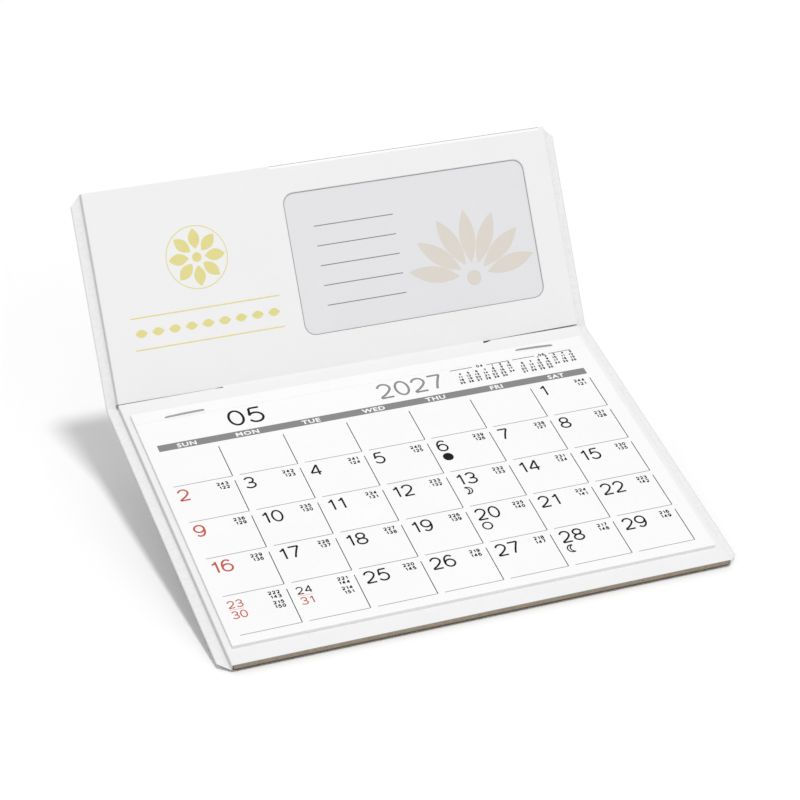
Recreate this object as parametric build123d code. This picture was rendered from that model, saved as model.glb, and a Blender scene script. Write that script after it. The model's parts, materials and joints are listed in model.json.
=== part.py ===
"""Easel desk calendar: a sloping base with a stapled month pad, a panel with a card window, and a leg behind it.

Base and panel are white two-skin sleeves, welded along their side flanges and open at the far end, with board inside.
They fold on their back skin until their front edges meet. A hinged board leg on the panel's back holds the fold up.
Millimetres, +X along the fold, +Y to the back, +Z up. The origin is the middle of the footprint, on the desk.
A leaf is modelled lying flat, running back from the fold, and is then laid or raised into place.
"""

import math
import os

from build123d import *

# Cover: the sleeve that both leaves share
COVER_WIDTH = 157.0
BASE_RUN = 115.33
BASE_SLOPE = 14.3
FOLD_ANGLE = 47.5
SKIN = 0.25
FLANGE_WIDTH = 3.4
FLANGE_MITRE = 3.4
EDGE_ROUND = 0.45
FOOT_ROUND = 0.3
SKIN_END_GAP = 0.02
BACK_RECESS = 0.5

# Boards inside the sleeve
BASE_BOARD = 1.9
BOARD_CLEARANCE = 0.1
BOARD_RECESS = 1.2
BOARD_CORNER = 0.8

# Fold: the back skin bends round it, and the front skin is slit except for a soft bridge in the middle
FOLD_RADIUS = 0.5
SLIT_WIDTHS = (0.24, 0.6)
SLIT_NARROW = 0.04
BRIDGE_WIDTH = 88.8
BRIDGE_RADIUS = 1.2
HOOK_LENGTH = 3.1
HOOK_MOUTH = 1.5
HOOK_DEPTHS = (0.3, 0.85)
HOOK_SHOULDER_SHARE = 0.75

# Card, its window and its pocket
CARD_WIDTH = 88.9
CARD_HEIGHT = 50.8
CARD_THICKNESS = 0.3
CARD_CORNER = 0.6
CARD_SIDE_SLACK = 0.2
CARD_FACE_SLACK = 0.13
CARD_TOP_MARGIN = 6.85
POCKET_FLOOR = 9.73
POCKET_ARM = 6.2
WINDOW_SIDE_LAP = 2.7
WINDOW_END_LAP = 2.35
WINDOW_CORNER = 3.8
WINDOW_RIM = 0.2

# Month pad
SHEET_COUNT = 12
SHEET_THICKNESS = 0.09
SHEET_GAP = 0.01
PAD_SIDE_MARGIN = 2.3
PAD_DEPTH = 101.6
PAD_OFFSET = -0.3
PAD_TOP_MARGIN = 7.68
STUB_DEPTH = 4.8
PERFORATION_GAP = 0.03

# Staples: left and right, each set down a little askew
STAPLE_CROWN = 12.4
STAPLE_WIDTH = 0.42
STAPLE_WIRE = 0.36
STAPLE_EDGE = 0.12
STAPLE_CORNER = 0.45
STAPLE_BOW = 0.15
STAPLE_CLINCH = 4.2
STAPLE_HOLE_CLEARANCE = 0.05
STAPLE_SEAT_GAP = 0.02
STAPLE_SIDES = (16.3, 17.1)
STAPLE_INSETS = (3.7, 1.9)
STAPLE_TURNS = (1.9, -2.9)

# Easel leg: two boards on one skin, creased between them, that open until the board edges meet
LEG_PIVOT = 8.0
LEG_LEAN = 11.0
LEG_WIDTH = 84.0
LEG_FOOT_WIDTH = 70.0
LEG_CORNER = 2.5
LEG_BOARD = 1.0
LEG_GAP = 0.1
LEG_MOUNT_HEIGHT = 20.0
LEG_STOP_GAP = 0.05

# One overrun serves every cut
OVERRUN = 1.0

# Derived sizes
BASE_THICKNESS = BASE_BOARD + 2 * SKIN
FRONT_LEVEL = BASE_THICKNESS - SKIN / 2
SLEEVE_INNER_WIDTH = COVER_WIDTH - 2 * SKIN
BOARD_WIDTH = SLEEVE_INNER_WIDTH - 2 * BOARD_CLEARANCE
PANEL_RUN = POCKET_FLOOR + CARD_HEIGHT + CARD_TOP_MARGIN
POCKET_DEPTH = CARD_THICKNESS + 2 * CARD_FACE_SLACK
PANEL_BOARD = BASE_BOARD - POCKET_DEPTH
CARD_RIGHT = BOARD_WIDTH / 2 - POCKET_ARM - CARD_SIDE_SLACK
CARD_MIDDLE = CARD_RIGHT - CARD_WIDTH / 2
WINDOW_WIDTH = CARD_WIDTH - 2 * WINDOW_SIDE_LAP
WINDOW_HEIGHT = CARD_HEIGHT - 2 * WINDOW_END_LAP
WINDOW_FLOOR = POCKET_FLOOR + WINDOW_END_LAP
PAD_WIDTH = COVER_WIDTH - 2 * PAD_SIDE_MARGIN
SHEET_PITCH = SHEET_THICKNESS + SHEET_GAP
PAD_THICKNESS = SHEET_COUNT * SHEET_PITCH
SLOPE = math.radians(BASE_SLOPE)
FOLD = math.radians(FOLD_ANGLE)
PANEL_ANGLE = BASE_SLOPE + FOLD_ANGLE
RISE = math.radians(PANEL_ANGLE)
LEAN = math.radians(LEG_LEAN)
LEG_SWING = 90 + LEG_LEAN - PANEL_ANGLE
SWING = math.radians(LEG_SWING)
SKIN_SETBACK = FOLD_RADIUS * math.tan(FOLD / 2) + SKIN_END_GAP
EDGE_SETBACK = (SLIT_NARROW / 2 + FRONT_LEVEL * math.sin(FOLD / 2)) / math.cos(FOLD / 2)
SLIT_SPREADS = [(width - SLIT_NARROW) / 2 / math.cos(FOLD / 2) for width in SLIT_WIDTHS]
BOARD_SETBACK = EDGE_SETBACK + BOARD_RECESS
BRIDGE_RISE = FRONT_LEVEL + BRIDGE_RADIUS
BRIDGE_SETBACK = BRIDGE_RISE * math.tan(FOLD / 2) + SKIN_END_GAP
BASE_REACH = BASE_RUN * math.cos(SLOPE) + FRONT_LEVEL * math.sin(SLOPE)
PANEL_REACH = PANEL_RUN * math.cos(RISE) + SKIN / 2 * math.sin(RISE)
FOLD_Y = (BASE_REACH - PANEL_REACH) / 2
FOLD_HEIGHT = (BASE_RUN - BACK_RECESS) * math.sin(SLOPE) + SKIN / 2 * math.cos(SLOPE)
PIVOT_LEVEL = -LEG_GAP - SKIN / 2
PIVOT_HEIGHT = FOLD_HEIGHT + LEG_PIVOT * math.sin(RISE) + (PIVOT_LEVEL - SKIN / 2) * math.cos(RISE)
LEG_BACK = SKIN / 2 + LEG_BOARD
LEG_RUN = (PIVOT_HEIGHT + LEG_BACK * math.sin(LEAN)) / math.cos(LEAN)
LEG_SKIN_SETBACK = FOLD_RADIUS * math.tan(SWING / 2) + SKIN_END_GAP
LEG_BOARD_SETBACK = LEG_BACK * math.tan(SWING / 2) + LEG_STOP_GAP

FROM_BELOW = (Align.CENTER, Align.CENTER, Align.MIN)
FROM_NEAR = (Align.CENTER, Align.MIN)


def at_fold(angle):
    """Frame on the fold line, turned up by an angle, with the desk side of a leaf half a skin below it."""
    return Pos(0, FOLD_Y, FOLD_HEIGHT) * Rot(angle, 0, 0) * Pos(0, 0, -SKIN / 2)


def lay_base(leaf):
    """Turn a flat leaf so that it runs forward from the fold, down to the desk."""
    return at_fold(BASE_SLOPE) * Rot(0, 0, 180) * leaf


def raise_panel(leaf):
    """Swing a flat leaf up from lying in line with the base to its displayed angle."""
    return at_fold(PANEL_ANGLE) * leaf


def at_pivot(swing):
    """Frame on the leg's crease, swung out behind the panel by an angle."""
    return at_fold(PANEL_ANGLE) * Pos(0, LEG_PIVOT, PIVOT_LEVEL) * Rot(swing, 0, 0)


def on_level(face, level, thickness):
    """Give a flat outline its thickness, with its underside at a level."""
    return Pos(0, 0, level) * extrude(face, amount=thickness)


def leaf_outline(run):
    """Outline of a leaf with its flanges, whose far corners are mitred back to the sleeve."""
    half = COVER_WIDTH / 2
    outer = half + FLANGE_WIDTH
    shoulder = run - FLANGE_MITRE
    corners = [
        (-outer, SKIN_SETBACK),
        (outer, SKIN_SETBACK),
        (outer, shoulder),
        (half, run),
        (-half, run),
        (-outer, shoulder),
    ]
    return make_face(Polyline(*corners, close=True))


def back_skin(run):
    """Flat skin on the desk side of a leaf."""
    return on_level(leaf_outline(run), 0, SKIN)


def sleeve_section():
    """Hat section of a front skin: top sheet, side walls and flanges, seen along the leaf."""
    height = BASE_THICKNESS - SKIN
    crown = Rectangle(COVER_WIDTH, height, align=FROM_NEAR)
    flanges = Rectangle(COVER_WIDTH + 2 * FLANGE_WIDTH, SKIN, align=FROM_NEAR)
    hollow = Rectangle(SLEEVE_INNER_WIDTH, height - SKIN, align=FROM_NEAR)
    section = crown + flanges - hollow
    section = fillet(section.vertices().group_by(Axis.Y)[-1], EDGE_ROUND)
    at_foot = [v for v in section.vertices() if abs(abs(v.X) - COVER_WIDTH / 2) < SKIN / 2 and v.Y < height / 2]
    return fillet(at_foot, FOOT_ROUND)


def hook_cuts():
    """Leaf-shaped ends of the left and right slit, which stop the skin from tearing on into the bridge.

    The base is drawn from its fold towards its reader, so their left is its positive side here.
    """
    half = BRIDGE_WIDTH / 2
    hooks = []
    for side, depth in zip((1, -1), HOOK_DEPTHS):
        corners = [
            (side * (half + HOOK_LENGTH), 0),
            (side * (half + HOOK_LENGTH), EDGE_SETBACK),
            (side * (half + HOOK_MOUTH), EDGE_SETBACK + HOOK_SHOULDER_SHARE * depth),
            (side * half, EDGE_SETBACK + depth),
            (side * half, 0),
        ]
        leaf = make_face(Polyline(*corners, close=True))
        hooks.append(extrude(leaf, amount=BASE_THICKNESS + OVERRUN, dir=(0, 0, 1)))
    return hooks


def slit_outline(spreads):
    """Gap that a front skin leaves at the fold: closed at the bridge, and wider towards the flanges."""
    outer = COVER_WIDTH / 2 + FOOT_ROUND
    inner = BRIDGE_WIDTH / 2
    near, far = (EDGE_SETBACK + spread for spread in spreads)
    corners = [(-outer, 0), (outer, 0), (outer, far), (inner, EDGE_SETBACK), (-inner, EDGE_SETBACK), (-outer, near)]
    return make_face(Polyline(*corners, close=True))


def front_skin(run, spreads):
    """Formed skin on the front of a leaf; only its flanges run on to the fold, and the bridge has a seat."""
    profile = Plane.XZ.offset(-run) * sleeve_section()
    formed = Pos(0, 0, SKIN) * extrude(profile, amount=run - SKIN_SETBACK)
    trimmed = formed & extrude(leaf_outline(run), amount=BASE_THICKNESS)
    seat = Rectangle(BRIDGE_WIDTH, BRIDGE_SETBACK, align=FROM_NEAR)
    return trimmed - extrude(slit_outline(spreads) + seat, amount=BASE_THICKNESS + OVERRUN)


def board_outline(run):
    """Outline of a board: it starts clear of the fold and ends flush with the sleeve's open end."""
    length = run - BOARD_SETBACK
    return Pos(0, BOARD_SETBACK + length / 2) * RectangleRounded(BOARD_WIDTH, length, BOARD_CORNER)


def window_outline():
    """Rounded window in front of the card."""
    middle = WINDOW_FLOOR + WINDOW_HEIGHT / 2
    return Pos(CARD_MIDDLE, middle) * RectangleRounded(WINDOW_WIDTH, WINDOW_HEIGHT, WINDOW_CORNER)


def window_skin():
    """Front skin of the panel, with the window's rim rounded off."""
    skin = front_skin(PANEL_RUN, SLIT_SPREADS) - extrude(window_outline(), amount=BASE_THICKNESS + OVERRUN)
    rim = skin.faces().sort_by(Axis.Z)[-1].inner_wires()[0].edges()
    return fillet(rim, WINDOW_RIM)


def pocket_spacer():
    """Sheet behind the front skin, cut out for the card and open at the top."""
    slot_width = CARD_WIDTH + 2 * CARD_SIDE_SLACK
    slot = Pos(CARD_MIDDLE, POCKET_FLOOR) * Rectangle(slot_width, PANEL_RUN, align=FROM_NEAR)
    return on_level(board_outline(PANEL_RUN) - slot, SKIN + PANEL_BOARD, POCKET_DEPTH)


def message_card():
    """Card that stands on the pocket's floor and shows through the window."""
    middle = POCKET_FLOOR + CARD_HEIGHT / 2
    face = Pos(CARD_MIDDLE, middle) * RectangleRounded(CARD_WIDTH, CARD_HEIGHT, CARD_CORNER)
    return on_level(face, SKIN + PANEL_BOARD + CARD_FACE_SLACK, CARD_THICKNESS)


def staple_places():
    """Where each staple stands on the flat base leaf, as a location with its own small turn."""
    for side, inset, turn, end in zip(STAPLE_SIDES, STAPLE_INSETS, STAPLE_TURNS, (1, -1)):
        middle = end * (PAD_WIDTH / 2 - side) - PAD_OFFSET
        yield Pos(middle, PAD_TOP_MARGIN + inset, 0) * Rot(0, 0, turn)


def staple_levels():
    """Heights of the wire's centre line: over the pad, and clinched under the top skin."""
    crown = BASE_THICKNESS + PAD_THICKNESS - SHEET_GAP + STAPLE_SEAT_GAP + STAPLE_WIRE / 2
    clinch = BASE_THICKNESS - SKIN - STAPLE_SEAT_GAP - STAPLE_WIRE / 2
    return crown, clinch


def staple():
    """Flat wire: a slightly bowed crown, two legs, and tips clinched inwards under the skin."""
    crown, clinch = staple_levels()
    half = STAPLE_CROWN / 2
    points = [
        (-half + STAPLE_CLINCH, 0, clinch),
        (-half, 0, clinch),
        (-half, 0, crown),
        (0, 0, crown + STAPLE_BOW),
        (half, 0, crown),
        (half, 0, clinch),
        (half - STAPLE_CLINCH, 0, clinch),
    ]
    corner = STAPLE_CORNER
    route = FilletPolyline(*points, radius=[corner, corner, STAPLE_CROWN, corner, corner])
    section = RectangleRounded(STAPLE_WIDTH, STAPLE_WIRE, STAPLE_EDGE)
    start = Plane(route @ 0, x_dir=(0, 1, 0), z_dir=route % 0)
    return sweep(start * section, path=route)


def staple_holes():
    """Slots that both legs of both staples pierce through the stubs and the top skin."""
    length = STAPLE_WIRE + 2 * STAPLE_HOLE_CLEARANCE
    width = STAPLE_WIDTH + 2 * STAPLE_HOLE_CLEARANCE
    height = PAD_THICKNESS + SKIN + 2 * OVERRUN
    below = BASE_THICKNESS - SKIN - OVERRUN
    for place in staple_places():
        for side in (-1, 1):
            yield place * Pos(side * STAPLE_CROWN / 2, 0, below) * Box(length, width, height, align=FROM_BELOW)


def clinch_grooves():
    """Beds that the clinched tips press into the base board."""
    margin = STAPLE_WIRE + 2 * STAPLE_HOLE_CLEARANCE
    width = STAPLE_WIDTH + 2 * STAPLE_HOLE_CLEARANCE
    length = STAPLE_CLINCH + margin
    depth = STAPLE_WIRE + STAPLE_SEAT_GAP + STAPLE_HOLE_CLEARANCE
    level = BASE_THICKNESS - SKIN - depth
    for place in staple_places():
        for side in (-1, 1):
            middle = side * (STAPLE_CROWN + margin - length) / 2
            bed = Pos(middle, 0) * Rectangle(length, width)
            yield place * on_level(bed, level, depth + OVERRUN)


def pad_strip(start, depth):
    """Outline of a strip of the pad, from a distance below its top edge."""
    return Pos(-PAD_OFFSET, PAD_TOP_MARGIN + start) * Rectangle(PAD_WIDTH, depth, align=FROM_NEAR)


def sheet_level(number):
    """Underside of a month's leaf; the first month lies on top."""
    return BASE_THICKNESS + (SHEET_COUNT - number) * SHEET_PITCH


def month_sheet(number):
    """One month's leaf, below its perforation."""
    start = STUB_DEPTH + PERFORATION_GAP
    return on_level(pad_strip(start, PAD_DEPTH - start), sheet_level(number), SHEET_THICKNESS)


def pad_stubs():
    """Stubs of all the leaves, which the staples pin to the base."""
    holes = list(staple_holes())
    stub = pad_strip(0, STUB_DEPTH)
    stubs = [on_level(stub, sheet_level(n + 1), SHEET_THICKNESS) - holes for n in range(SHEET_COUNT)]
    return Compound(children=[s for pierced in stubs for s in pierced.solids()])


def bent_strip(width, bend, inner, outer, rise):
    """Skin bent up through an angle, about a line a given rise above the crease."""
    middle = (-rise * math.tan(math.radians(bend) / 2), rise)
    outer_arc = CenterArc(middle, outer, -90, bend)
    inner_arc = CenterArc(middle, inner, -90, bend)
    ends = [Line(outer_arc @ share, inner_arc @ share) for share in (0, 1)]
    section = make_face(Curve() + [outer_arc, inner_arc] + ends)
    return extrude(Plane.YZ * section, amount=width / 2, both=True)


def hinge_back_strip():
    """Stretch of the back skin that bends round the fold, double where the flanges are welded."""
    outer = FOLD_RADIUS + SKIN / 2
    strip = bent_strip(COVER_WIDTH + 2 * FLANGE_WIDTH, FOLD_ANGLE, outer - SKIN, outer, FOLD_RADIUS)
    weld = bent_strip(FLANGE_WIDTH - FOOT_ROUND, FOLD_ANGLE, outer - 2 * SKIN, outer, FOLD_RADIUS)
    offset = (COVER_WIDTH + FLANGE_WIDTH + FOOT_ROUND) / 2
    return strip + Pos(offset, 0, 0) * weld + Pos(-offset, 0, 0) * weld


def hinge_bridge_strip():
    """Uncut middle of the front skin, which runs in a soft curve from base to panel."""
    return bent_strip(BRIDGE_WIDTH, FOLD_ANGLE, BRIDGE_RADIUS, BRIDGE_RADIUS + SKIN, BRIDGE_RISE)


def leg_hinge_strip():
    """Creased stretch of the leg's skin, between the mounted part and the leg."""
    outer = FOLD_RADIUS + SKIN / 2
    return Rot(180, 0, 0) * bent_strip(LEG_WIDTH, LEG_SWING, outer - SKIN, outer, FOLD_RADIUS)


def leg_outline(start):
    """Outline of the swinging part of the leg, from a distance below its crease to its narrower foot."""
    top = LEG_WIDTH / 2
    foot = LEG_FOOT_WIDTH / 2
    face = make_face(Polyline((-top, -start), (top, -start), (foot, -LEG_RUN), (-foot, -LEG_RUN), close=True))
    return fillet(face.vertices().group_by(Axis.Y)[0], LEG_CORNER)


def leg_mount_outline(start):
    """Outline of the part of the leg that is fixed on the panel's back, with its upper corners rounded."""
    height = LEG_MOUNT_HEIGHT - start
    face = Pos(0, start) * Rectangle(LEG_WIDTH, height, align=FROM_NEAR)
    return fillet(face.vertices().group_by(Axis.Y)[-1], LEG_CORNER)


def easel_leg():
    """The leg, with its foot trimmed level with the desk, and what fixes it to the panel's back."""
    inside = -SKIN / 2
    outside = -LEG_BACK
    below_desk = Box(COVER_WIDTH, BASE_RUN, LEG_RUN, align=(Align.CENTER, Align.CENTER, Align.MAX))
    desk = Pos(0, FOLD_Y, 0) * below_desk
    fixed = at_pivot(0)
    swung = at_pivot(LEG_SWING)
    return {
        "leg_tab": fixed * on_level(leg_mount_outline(LEG_SKIN_SETBACK), inside, SKIN + LEG_GAP),
        "leg_mount_board": fixed * on_level(leg_mount_outline(LEG_BOARD_SETBACK), outside, LEG_BOARD),
        "leg_hinge_strip": fixed * leg_hinge_strip(),
        "leg_skin": swung * on_level(leg_outline(LEG_SKIN_SETBACK), inside, SKIN) - desk,
        "leg_board": swung * on_level(leg_outline(LEG_BOARD_SETBACK), outside, LEG_BOARD) - desk,
    }


def base_leaf():
    """Everything that belongs to the base, with the month pad."""
    pierced = front_skin(BASE_RUN, SLIT_SPREADS[::-1]) - hook_cuts() - list(staple_holes())
    board = on_level(board_outline(BASE_RUN), SKIN, BASE_BOARD) - list(clinch_grooves())
    flat = {
        "base_bottom_skin": back_skin(BASE_RUN - BACK_RECESS),
        "base_board": board,
        "base_top_skin": pierced,
        "pad_stubs": pad_stubs(),
    }
    for side, place in zip(("left", "right"), staple_places()):
        flat[f"staple_{side}"] = place * staple()
    for number in range(1, SHEET_COUNT + 1):
        flat[f"month_sheet_{number:02d}"] = month_sheet(number)
    return {name: lay_base(shape) for name, shape in flat.items()}


def panel_leaf():
    """Everything that swings with the panel, and the card that slides in it."""
    flat = {
        "panel_back_skin": back_skin(PANEL_RUN),
        "panel_board": on_level(board_outline(PANEL_RUN), SKIN, PANEL_BOARD),
        "pocket_spacer": pocket_spacer(),
        "panel_front_skin": window_skin(),
        "message_card": message_card(),
    }
    return {name: raise_panel(shape) for name, shape in flat.items()}


def fold_strips():
    """The two bent stretches of skin that join the leaves."""
    place = Pos(0, FOLD_Y, FOLD_HEIGHT) * Rot(BASE_SLOPE, 0, 0)
    return {"hinge_back_strip": place * hinge_back_strip(), "hinge_bridge_strip": place * hinge_bridge_strip()}


def main():
    """Build every piece and write one file for each."""
    os.makedirs("parts", exist_ok=True)
    for name, shape in {**base_leaf(), **panel_leaf(), **fold_strips(), **easel_leg()}.items():
        export_step(shape, f"parts/{name}.step")
    pivot = at_pivot(0).position
    print(f"fold at y {FOLD_Y:.4f}, z {FOLD_HEIGHT:.4f}; leg crease at y {pivot.Y:.4f}, z {pivot.Z:.4f}")
    print(f"panel at {PANEL_ANGLE:.2f} degrees, leg swing {LEG_SWING:.2f}, leg run {LEG_RUN:.2f}")


main()
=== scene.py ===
"""Looks of the easel desk calendar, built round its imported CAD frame.

The frame gives the fold, the slopes of base and panel and every rigid piece. This script adds the print on each month
leaf, the ornament on the panel, the print on the card and the skin that bends at the folds, gives every surface its
finish, and sets the studio. Lengths are millimetres on a flat page, which a page matrix lays into the frame's metres.
"""

import calendar
import datetime
import json
import logging
import math
from dataclasses import dataclass, field, replace
from enum import Enum
from typing import Any

import bmesh
import bpy
from mathutils import Matrix, Vector

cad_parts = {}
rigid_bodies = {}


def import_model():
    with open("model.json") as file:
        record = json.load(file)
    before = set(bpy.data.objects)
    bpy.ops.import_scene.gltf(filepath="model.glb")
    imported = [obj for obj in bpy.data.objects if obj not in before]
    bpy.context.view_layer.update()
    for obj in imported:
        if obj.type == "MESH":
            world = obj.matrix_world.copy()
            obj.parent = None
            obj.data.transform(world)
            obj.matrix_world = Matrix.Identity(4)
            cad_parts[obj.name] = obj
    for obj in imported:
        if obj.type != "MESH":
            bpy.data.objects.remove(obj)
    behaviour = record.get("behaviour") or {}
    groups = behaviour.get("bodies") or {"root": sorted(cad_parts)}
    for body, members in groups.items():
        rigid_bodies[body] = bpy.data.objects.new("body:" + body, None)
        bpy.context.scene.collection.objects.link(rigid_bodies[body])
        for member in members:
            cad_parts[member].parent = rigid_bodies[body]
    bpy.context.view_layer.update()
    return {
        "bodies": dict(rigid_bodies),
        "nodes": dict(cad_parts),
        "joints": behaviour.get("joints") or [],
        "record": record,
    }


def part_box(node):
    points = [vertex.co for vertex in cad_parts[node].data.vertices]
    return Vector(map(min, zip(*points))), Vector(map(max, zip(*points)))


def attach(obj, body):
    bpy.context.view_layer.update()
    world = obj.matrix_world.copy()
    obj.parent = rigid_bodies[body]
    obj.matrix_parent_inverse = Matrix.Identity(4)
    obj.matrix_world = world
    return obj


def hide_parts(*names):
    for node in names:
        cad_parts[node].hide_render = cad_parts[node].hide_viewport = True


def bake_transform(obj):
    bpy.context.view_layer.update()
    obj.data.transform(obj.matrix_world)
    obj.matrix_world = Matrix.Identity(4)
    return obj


LOG = logging.getLogger("desk_calendar")
MM = 0.001

Colour = tuple[float, float, float]
Frame = dict[str, Any]
Point = tuple[float, float]
Shape = bmesh.types.BMesh
Socket = bpy.types.NodeSocket


class Ink(Enum):
    """Inks and foils of the print, each with its finish's name."""

    BLACK = "black_ink"
    GREY = "grey_ink"
    BAND = "band_ink"
    RED = "red_ink"
    WHITE = "reversed_white"
    GOLD = "gold_foil"
    BEIGE = "beige_tint"
    RULE = "pale_grey_ink"


class Anchor(Enum):
    """Which end of a line of figures stands at its place, as a share of its width."""

    LEFT = 0.0
    CENTRE = 0.5
    RIGHT = 1.0


class MoonPhase(Enum):
    """Quarters of the moon, in the order in which they follow a new moon."""

    NEW = 0
    FIRST_QUARTER = 1
    FULL = 2
    LAST_QUARTER = 3


# Node trees


class NodeBoard:
    """Adds and links nodes of one tree."""

    def __init__(self, tree: bpy.types.NodeTree) -> None:
        """Start on a tree, keeping what it holds."""
        self.tree = tree

    def feed(self, socket: Socket, value: Any) -> None:
        """Give an input socket a value, or link another socket to it.

        Args:
            socket: The input.
            value: Its value, or the socket that feeds it.
        """
        if isinstance(value, Socket):
            self.tree.links.new(value, socket)
        else:
            socket.default_value = value

    def add(self, kind: str, inputs: dict[str, Any] | None = None, **settings: Any) -> bpy.types.Node:
        """Add a node.

        Args:
            kind: Blender's name of the node type.
            inputs: Values of its input sockets, or sockets to link to them.
            settings: Attributes of the node.

        Returns:
            The new node.
        """
        node = self.tree.nodes.new(kind)
        for name, value in settings.items():
            setattr(node, name, value)
        for name, value in (inputs or {}).items():
            self.feed(node.inputs[name], value)
        return node

    def math(self, operation: str, *values: Any) -> Socket:
        """Add a Math node.

        Args:
            operation: What it does.
            values: Its values, or sockets to link to it.

        Returns:
            Its result.
        """
        node = self.add("ShaderNodeMath", operation=operation)
        for socket, value in zip(node.inputs, values):
            self.feed(socket, value)
        return node.outputs[0]

    def mix(self, share: Any, first: Any, second: Any) -> Socket:
        """Add a mix of two colours, each a value or a socket.

        Args:
            share: Share of the second colour.
            first: The first colour.
            second: The second colour.

        Returns:
            The mixed colour.
        """
        node = self.add("ShaderNodeMix", data_type="RGBA")
        for socket, value in zip((node.inputs[0], node.inputs[6], node.inputs[7]), (share, first, second)):
            self.feed(socket, value)
        return node.outputs[2]

    def noise(self, place: Socket, scale: Any, **inputs: float) -> Socket:
        """Add a noise texture and return its value; other inputs have small letters here."""
        more = {name.capitalize(): value for name, value in inputs.items()}
        return self.add("ShaderNodeTexNoise", {"Vector": place, "Scale": scale, **more}).outputs["Fac"]

    def spread(self, value: Socket, low: float, high: float) -> Socket:
        """Map a value from 0 to 1 onto a range and return the result."""
        return self.add("ShaderNodeMapRange", {"Value": value, "To Min": low, "To Max": high}).outputs["Result"]

    def fade(self, value: Socket, whole: float, gone: float) -> Socket:
        """Add a mask that fades out as a value rises.

        Args:
            value: The value.
            whole: Level up to which the mask is 1.
            gone: Level from which it is 0.

        Returns:
            The mask.
        """
        node = self.add(
            "ShaderNodeMapRange",
            {"Value": value, "From Min": gone, "From Max": whole, "To Min": 0.0, "To Max": 1.0},
            interpolation_type="SMOOTHSTEP",
        )
        return node.outputs["Result"]


@dataclass
class GroupPlan:
    """A shared effect: a node group with a Vector input, scales, and a Shade and a Height output."""

    name: str
    scales: dict[str, float]
    tree: bpy.types.NodeTree = field(init=False)

    def start(self) -> tuple[NodeBoard, bpy.types.NodeOutputs]:
        """Make the group's tree with its sockets.

        Returns:
            The board to add nodes with, and the sockets that the group is given.
        """
        self.tree = bpy.data.node_groups.new(self.name, "ShaderNodeTree")
        face = self.tree.interface
        face.new_socket("Vector", in_out="INPUT", socket_type="NodeSocketVector")
        for name, value in self.scales.items():
            face.new_socket(name, in_out="INPUT", socket_type="NodeSocketFloat").default_value = value
        for name in ("Shade", "Height"):
            face.new_socket(name, in_out="OUTPUT", socket_type="NodeSocketFloat")
        board = NodeBoard(self.tree)
        return board, board.add("NodeGroupInput").outputs


class Effects:
    """The effects that several finishes share, each built once."""

    FINE_SHARE = 0.45
    FLECK_RADIUS = 0.16
    FLECK_SHADE = -0.35

    def __init__(self) -> None:
        """Build every group."""
        self.grain = self._grain()
        self.fibre = self._fibre()

    def _grain(self) -> bpy.types.NodeTree:
        """Fine grain over a slow mottle, for skins, papers and inks.

        Returns:
            The group.
        """
        plan = GroupPlan("fine_grain", {"Fine Scale": 3000.0, "Mottle Scale": 45.0})
        board, given = plan.start()
        fine = board.noise(given["Vector"], given["Fine Scale"], detail=4.0, roughness=0.6)
        mottle = board.noise(given["Vector"], given["Mottle Scale"], detail=3.0)
        slow = board.math("MULTIPLY", mottle, 1 - self.FINE_SHARE)
        shade = board.math("MULTIPLY_ADD", fine, self.FINE_SHARE, slow)
        board.add("NodeGroupOutput", {"Shade": shade, "Height": fine})
        return plan.tree

    def _fibre(self) -> bpy.types.NodeTree:
        """Matted fibres with dark flecks, for raw board.

        Returns:
            The group.
        """
        plan = GroupPlan("board_fibre", {"Fibre Scale": 620.0, "Fleck Scale": 1100.0})
        board, given = plan.start()
        fibres = board.noise(given["Vector"], given["Fibre Scale"], detail=6.0, roughness=0.65, distortion=1.2)
        cells = board.add("ShaderNodeTexVoronoi", {"Vector": given["Vector"], "Scale": given["Fleck Scale"]})
        flecks = board.math("LESS_THAN", cells.outputs["Distance"], self.FLECK_RADIUS)
        shade = board.math("ADD", fibres, board.math("MULTIPLY", flecks, self.FLECK_SHADE))
        board.add("NodeGroupOutput", {"Shade": shade, "Height": fibres})
        return plan.tree


# Finishes


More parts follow.
